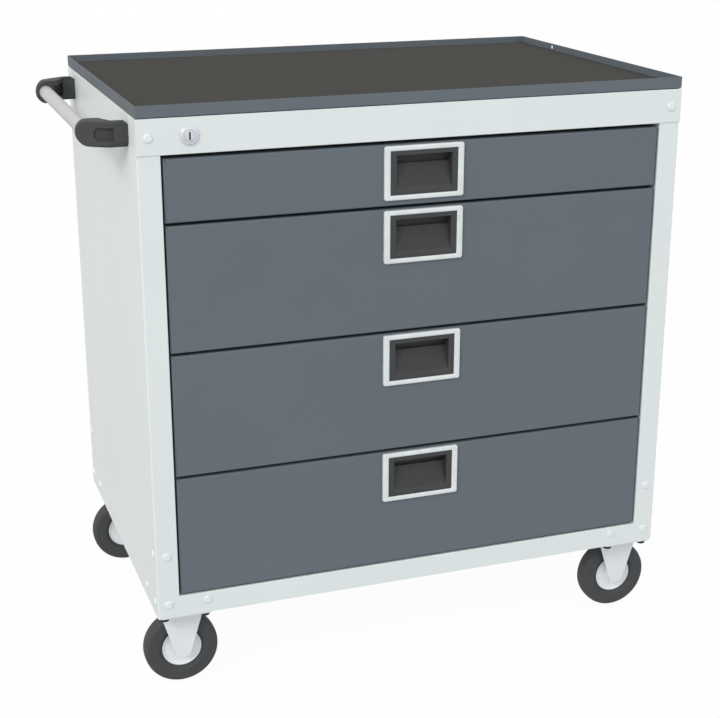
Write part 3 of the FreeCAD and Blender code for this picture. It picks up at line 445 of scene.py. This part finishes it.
mat_low, mat_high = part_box("tray_mat")
rib_count = int((mat_high[1] - mat_low[1]) / RIB_PITCH)
rib_pitch = (mat_high[1] - mat_low[1]) / rib_count
profile = [(mat_low[1], mat_low[2])]
for rib in range(rib_count):
    for along, sunk in RIB_SHAPE:
        profile.append((mat_low[1] + (rib + along) * rib_pitch, mat_high[2] - sunk * RIB_DEPTH))
profile.append((mat_high[1], mat_high[2] - RIB_DEPTH))
profile.append((mat_high[1], mat_low[2]))
mat = bmesh.new()
ends = [[mat.verts.new((x, y, z)) for y, z in profile] for x in (mat_low[0], mat_high[0])]
for here in range(len(profile)):
    after = (here + 1) % len(profile)
    mat.faces.new((ends[0][here], ends[0][after], ends[1][after], ends[1][here]))
mat.faces.new(ends[0])
mat.faces.new(ends[1])
stand_in(mat, "tray_mat", MAT_CREASE)
print("mat:", rib_count, "ribs", round(rib_pitch * 1000, 2), "mm apart")

# %% [markdown]
# A wheel is turned, so it is drawn as half a section and spun round its axle, as a potter would throw it.
# The tyre has a rounded shoulder, a moulded line on its side and a step down to the hub; the hub has a
# thin lip at its rim, a shallow dish and a boss that meets the fork.

# %% Wheels
WHEEL_STEPS = 96
TYRE_CREASE = 60.0
HUB_CREASE = 50.0
# Radius and distance from the middle of the wheel, in millimetres.
TYRE_SIDE = ((29.45, 9.2), (31.6, 9.2), (32.6, 9.8), (33.4, 11.2), (34.6, 12.6), (36.4, 13.0),
             (44.4, 13.0), (45.1, 12.75), (45.8, 12.95), (49.0, 12.8), (51.4, 12.1), (53.2, 10.8),
             (54.4, 9.1), (55.0, 6.8), (55.25, 4.0), (55.3, 0.0))
HUB_SIDE = ((5.1, 18.3), (10.1, 18.3), (10.7, 18.0), (11.0, 17.4), (11.0, 9.3), (11.5, 8.6),
            (12.6, 8.3), (20.0, 8.0), (25.0, 8.0), (26.4, 8.3), (27.1, 9.1), (27.6, 9.8),
            (28.2, 10.0), (29.0, 10.0), (29.4, 9.6))


def both_sides(half_section):
    """A closed section from the half of it on one side of the middle."""
    return [(r, -o) for r, o in half_section] + [(r, o) for r, o in reversed(half_section) if o > 0]


def spun(section, place, closed=True):
    """Spin a section (radius, distance along the axle, in millimetres) about an axle along Y."""
    form = bmesh.new()
    rings = []
    for step in range(WHEEL_STEPS):
        turn = 2 * math.pi * step / WHEEL_STEPS
        rings.append([form.verts.new((place[0] + r / 1000 * math.cos(turn), place[1] + o / 1000,
                                      place[2] + r / 1000 * math.sin(turn))) for r, o in section])
    count = len(section)
    sides = [(a, (a + 1) % count) for a in range(count if closed else count - 1)]
    for ring, after in zip(rings, rings[1:] + rings[:1]):
        for a, b in sides:
            form.faces.new((ring[a], after[a], after[b], ring[b]))
    return form, rings


for corner in ("fl", "fr", "rl", "rr"):
    low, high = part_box("caster_tyre_" + corner)
    middle = [(a + b) / 2 for a, b in zip(low, high)]
    stand_in(spun(both_sides(TYRE_SIDE), middle)[0], "caster_tyre_" + corner, TYRE_CREASE)
    stand_in(spun(both_sides(HUB_SIDE), middle)[0], "caster_hub_" + corner, HUB_CREASE)
print("wheels: four tyres", round((high[2] - low[2]) * 1000, 1), "mm across and four hubs")

# %% [markdown]
# A pull cup is a dark dish behind the light frame. Its floor slopes back from the lower rim so that it is
# easy to mould and to wipe, and ends at an edge over a finger groove that runs up behind the top rim. The
# groove is deep in shade, which gives the dark band across the dish. It is drawn as one section and closed
# by two end walls. The edges of the rim are rounded, apart from the one where the floor begins.

# %% Pull cups
CUP_RIM_SIDE = 0.0087
CUP_RIM_END = 0.0062
CUP_WALL = 0.0019
CUP_SLOPE_DEEP = 0.0135
CUP_BACK_HIGH = 0.0130
CUP_STEP = 0.0035
CUP_GROOVE = 0.0032
CUP_RIM_THICK = 0.0035
CUP_EDGE = 0.0006
ROUND_STEPS = 2
ROUND_CREASE = 40.0
DRAWERS = (1, 2, 3, 4)


def round_off(form, edges, width, steps):
    """Round some edges of a worked mesh in a few steps; one step cuts them off flat."""
    bmesh.ops.bevel(form, geom=edges, offset=width, offset_type="OFFSET", segments=steps, profile=0.5,
                    affect="EDGES", clamp_overlap=False)


def cup(node):
    """A dish in a block: rim, sloping floor, back wall and finger groove."""
    low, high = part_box(node)
    left, right = low[0] + CUP_RIM_SIDE, high[0] - CUP_RIM_SIDE
    foot, head = low[2] + CUP_RIM_END, high[2] - CUP_RIM_END
    front, deep = low[1], high[1] - CUP_WALL
    behind = front + CUP_RIM_THICK
    edge = head - CUP_BACK_HIGH
    section = ((front, foot), (front + CUP_SLOPE_DEEP, edge), (deep, edge - CUP_STEP),
               (deep, head + CUP_GROOVE), (behind, head + CUP_GROOVE), (behind, head), (front, head))
    last = len(section) - 1
    form = bmesh.new()
    walls = [[form.verts.new((x, y, z)) for y, z in section] for x in (left, right)]
    for a in range(last):
        form.faces.new((walls[0][a], walls[0][a + 1], walls[1][a + 1], walls[1][a]))
    form.faces.new(walls[0])
    form.faces.new(walls[1])
    mouth = (walls[0][0], walls[1][0], walls[1][last], walls[0][last])
    corners = ((low[0], low[2]), (high[0], low[2]), (high[0], high[2]), (low[0], high[2]))
    rim = [form.verts.new((x, front, z)) for x, z in corners]
    rear = [form.verts.new((x, high[1], z)) for x, z in corners]
    for a, b in ((0, 1), (1, 2), (2, 3), (3, 0)):
        form.faces.new((rim[a], rim[b], mouth[b], mouth[a]))
        form.faces.new((rim[a], rim[b], rear[b], rear[a]))
    form.faces.new(rear)
    bmesh.ops.recalc_face_normals(form, faces=form.faces)
    lips = [e for e in form.edges if all(v in mouth for v in e.verts) or all(v in rim for v in e.verts)]
    lips = [e for e in lips if not all(v in mouth[:2] for v in e.verts)]
    round_off(form, lips, CUP_EDGE, ROUND_STEPS)
    stand_in(form, node, ROUND_CREASE, even=True)


for drawer in DRAWERS:
    cup("pull_%d_cup" % drawer)
print("cups: four, with a groove", round(CUP_GROOVE * 1000, 1), "mm deep above the mouth")

# %% [markdown]
# A drawer front hangs on its slides with a little play, so it settles about a millimetre below its nominal
# place, while the pulls are riveted where the template says. The gaps between the fronts are the strongest
# lines of the object, so the upper and lower edges of each front are moved by that amount in a copy of it.
# The copy is welded and its flat faces joined first, because a solid arrives as many loose triangles.

# %% Drawer fronts
WELD = 0.000002
FLAT = math.radians(0.6)
UPPER_SETTLE = 0.0015
LOWER_SETTLE = 0.0012
FRONT_RIM = 0.006
FRONT_CREASE = 35.0


def join(form, reach):
    """Weld the points of a worked mesh and join its flat faces."""
    bmesh.ops.remove_doubles(form, verts=form.verts, dist=reach)
    bmesh.ops.dissolve_limit(form, angle_limit=FLAT, verts=form.verts, edges=form.edges)


def copy_of(node):
    """A working copy of a solid."""
    form = bmesh.new()
    form.from_mesh(solids[node].data)
    join(form, WELD)
    return form


for drawer in DRAWERS:
    node = "drawer_%d_front" % drawer
    low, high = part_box(node)
    form = copy_of(node)
    upper = [v for v in form.verts if high[2] - v.co.z < FRONT_RIM]
    lower = [v for v in form.verts if v.co.z - low[2] < FRONT_RIM]
    bmesh.ops.translate(form, verts=upper, vec=(0.0, 0.0, -UPPER_SETTLE))
    bmesh.ops.translate(form, verts=lower, vec=(0.0, 0.0, -LOWER_SETTLE))
    print("front", drawer, "settled at", len(upper) + len(lower), "points")
    stand_in(form, node, FRONT_CREASE, even=True)

# %% [markdown]
# No sheet or moulding has a knife edge. The solids keep their sharp corners where that is enough for
# measuring, and here a copy of each gets a small round along every sharp edge, which is what catches the
# light in a portrait. A bevel modifier could do it too, but picking the edges here leaves the tiny ones of
# round holes and fillets alone. A piece can be reshaped before it is rounded.

# %% Eased edges
SHARP = math.radians(40.0)
SHORTEST = 0.0015


def eased(node, width, reshape=None):
    """A stand-in for a node with its sharp edges rounded, after an optional change of shape."""
    form = copy_of(node)
    if reshape:
        reshape(form)
    edges = [e for e in form.edges if len(e.link_faces) == 2 and e.calc_length() > SHORTEST
             and e.calc_face_angle() > SHARP]
    print("eased", node, "on", len(edges), "edges")
    round_off(form, edges, width, ROUND_STEPS)
    stand_in(form, node, ROUND_CREASE, even=True)


print("rounds: on edges longer than", SHORTEST * 1000, "mm, in", ROUND_STEPS, "steps")

# %% [markdown]
# The handle brackets are two black mouldings with a blunt nose beyond the tube and a grip pocket in the
# outer side. The pocket's floor sinks towards the nose, where its corners are round. Moving points could
# not give it round corners, so it is drawn as a tool and taken out of the bracket with a boolean, as a
# cutter would take it out.

# %% Shape of the handle brackets
NOSE_SHARE = 0.85
POCKET_HALF = 0.0085
POCKET_CORNER = 0.0064
POCKET_TURNS = range(0, 91, 15)  # degrees round a corner
POCKET_FLOOR = ((0.0188, 0.0104), (0.0409, 0.0163), (0.0423, 0.0196))  # way out from the root, and depth
TOOL_PROUD = 0.004
CARVE_WELD = 0.000005

tube_low, tube_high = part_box("handle_tube")
tube_axis = (tube_low[0] + tube_high[0]) / 2
tube_middle = (tube_low[2] + tube_high[2]) / 2


def blunt_nose(form):
    """Flatten the nose of a bracket a little, beyond the axis of its tube."""
    for vert in form.verts:
        if vert.co.x < tube_axis:
            vert.co.x = tube_axis + (vert.co.x - tube_axis) * NOSE_SHARE


def pocket_tool(form):
    """The grip pocket of a bracket as a solid that stands a little proud of it."""
    end = -1.0 if sum(v.co.y for v in form.verts) < 0.0 else 1.0
    outer = max(v.co.y * end for v in form.verts)
    root = max(v.co.x for v in form.verts)
    (start, _), (knee, _), (far, _) = POCKET_FLOOR
    columns = [(start, POCKET_HALF)]
    for turn in map(math.radians, POCKET_TURNS):
        columns.append((far - POCKET_CORNER * (1.0 - math.sin(turn)),
                        POCKET_HALF - POCKET_CORNER * (1.0 - math.cos(turn))))
    tool = bmesh.new()
    rows = []
    for out, half in columns:
        a, b = POCKET_FLOOR[:2] if out <= knee else POCKET_FLOOR[1:]
        floor_y = outer - (a[1] + (b[1] - a[1]) * (out - a[0]) / (b[0] - a[0]))
        proud_y = outer + TOOL_PROUD
        rows.append([tool.verts.new((root - out, end * y, tube_middle + z)) for y, z in (
            (floor_y, half), (floor_y, -half), (proud_y, -half), (proud_y, half))])
    for one, two in zip(rows, rows[1:]):
        for k in range(4):
            tool.faces.new((one[k], one[k - 1], two[k - 1], two[k]))
    tool.faces.new(rows[0])
    tool.faces.new(rows[-1])
    bmesh.ops.recalc_face_normals(tool, faces=tool.faces)
    return tool


def carve(form, tool):
    """Take a tool's shape out of a worked mesh with a boolean."""
    pair = []
    for name, shape in (("carved", form), ("tool", tool)):
        mesh = bpy.data.meshes.new(name)
        shape.to_mesh(mesh)
        pair.append(added(name, mesh))
    cut = pair[0].modifiers.new("cut", "BOOLEAN")
    cut.operation, cut.solver, cut.object = "DIFFERENCE", "EXACT", pair[1]
    worked = pair[0].evaluated_get(bpy.context.evaluated_depsgraph_get())
    form.clear()
    form.from_mesh(worked.to_mesh())
    tool.free()
    for thing in pair:
        mesh = thing.data
        bpy.data.objects.remove(thing)
        bpy.data.meshes.remove(mesh)
    join(form, CARVE_WELD)


def shape_bracket(form):
    """Blunt the nose of a bracket and deepen its grip pocket."""
    blunt_nose(form)
    carve(form, pocket_tool(form))


print("brackets: tube axis at", round(tube_axis * 1000, 1), "mm, pocket", POCKET_HALF * 2000, "mm high")

# %% [markdown]
# The casters' forks are pressed steel and only need their edges eased. The tray sits on the body with its
# lower outer edge turned under, which shows as a thin dark groove, so that edge is cut off flat before the
# others are eased.

# %% Brackets, forks and tray
BRACKET_ROUND = 0.0006
FORK_ROUND = 0.0005
TRAY_ROUND = 0.0004
TRAY_GROOVE = 0.0014
FOOT_REACH = 0.0001
FOOT_TURN = 1.0
FOOT_LONG = 0.3

tray_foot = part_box("top_tray")[0][2]


def groove_under(form):
    """Cut off the long lower edges, so that a dark groove shows where the tray sits on the body."""
    foot = [e for e in form.edges if len(e.link_faces) == 2 and e.calc_face_angle() > FOOT_TURN
            and all(v.co.z < tray_foot + FOOT_REACH for v in e.verts) and e.calc_length() > FOOT_LONG]
    round_off(form, foot, TRAY_GROOVE, steps=1)


for end in ("front", "rear"):
    eased("handle_bracket_" + end, BRACKET_ROUND, shape_bracket)
for corner in ("fl", "fr", "rl", "rr"):
    eased("caster_fork_" + corner, FORK_ROUND)
eased("top_tray", TRAY_ROUND, groove_under)

# %% [markdown]
# The lock is turned too: a rosette with a soft shoulder, and a plug in its bore with a fine groove between
# them, which is the thin ring seen on any cam lock. The plug is spun as an open shell. Its back is closed
# with one face, a box is sunk in for the keyway, and the face of the plug is filled round it.

# %% Lock
LOCK_CREASE = 40.0
# Radius and distance behind the face of the rosette, in millimetres.
ROSETTE = ((7.56, 0.5), (8.0, 0.0), (9.8, 0.0), (10.95, 0.23), (11.92, 0.88), (12.57, 1.85),
           (12.8, 3.0), (12.8, 3.5), (9.5, 3.5), (9.5, 25.0), (7.56, 25.0))
PLUG = ((6.8, -0.5), (7.3, -0.3), (7.5, 0.2), (7.5, 25.0), (4.0, 25.0), (4.0, 32.0))
KEYWAY_HALF = (0.0012, 0.0054)
KEYWAY_DEEP = 0.006
BOX_FRONT = ((0, 1, 2, 3),)
BOX_SIDES = ((0, 1, 5, 4), (1, 2, 6, 5), (2, 3, 7, 6), (3, 0, 4, 7), (4, 5, 6, 7))

lock_low, lock_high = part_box("lock_housing")
lock_place = ((lock_low[0] + lock_high[0]) / 2, lock_low[1], (lock_low[2] + lock_high[2]) / 2)
plug_face = lock_place[1] + PLUG[0][1] / 1000


def sunk_box(form, half, front, deep, sides):
    """A box about the lock's axis, from a front plane to a depth behind it, with some of its sides."""
    points = [form.verts.new((lock_place[0] + x * half[0], y, lock_place[2] + z * half[1]))
              for y in (front, front + deep) for x, z in ((-1, -1), (1, -1), (1, 1), (-1, 1))]
    for side in sides:
        form.faces.new([points[i] for i in side])


stand_in(spun(ROSETTE, lock_place)[0], "lock_housing", LOCK_CREASE)
plug, rings = spun(PLUG, lock_place, closed=False)
plug.faces.new([ring[-1] for ring in rings])
sunk_box(plug, KEYWAY_HALF, plug_face, KEYWAY_DEEP, BOX_SIDES)
rims = [e for e in plug.edges if e.is_boundary]
print("lock: rosette, plug and keyway,", len(rims), "edges round the face")
bmesh.ops.triangle_fill(plug, edges=rims, use_beauty=True)
stand_in(plug, "lock_plug", LOCK_CREASE)

# %% [markdown]
# A keyway is a deep narrow slot with pins inside, so almost no light comes back out of it. Pins could
# be modelled, but nobody would see them: a dark box a little below the face is painted shade that stands
# for that depth, and it turns with the plug.

# %% Keyway painted shade
SHADE_SUNK = 0.0016
SHADE_PLAY = 0.00003

# Painted shade: a black box just below the face of the plug stands for the dark depth of the keyway.
keyway_shade = bmesh.new()
shade_half = [h - SHADE_PLAY for h in KEYWAY_HALF]
sunk_box(keyway_shade, shade_half, plug_face + SHADE_SUNK, KEYWAY_DEEP / 2, BOX_SIDES + BOX_FRONT)
bmesh.ops.recalc_face_normals(keyway_shade, faces=keyway_shade.faces)
shade_mesh = meshed(keyway_shade, "keyway_painted_shade")
shade_mesh.materials.append(finishes["black_plastic"])
keyway_painted_shade = added("keyway_painted_shade", shade_mesh)
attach(keyway_painted_shade, body_of["lock_plug"])
print("lining:", SHADE_SUNK * 1000, "mm below the face of the plug")
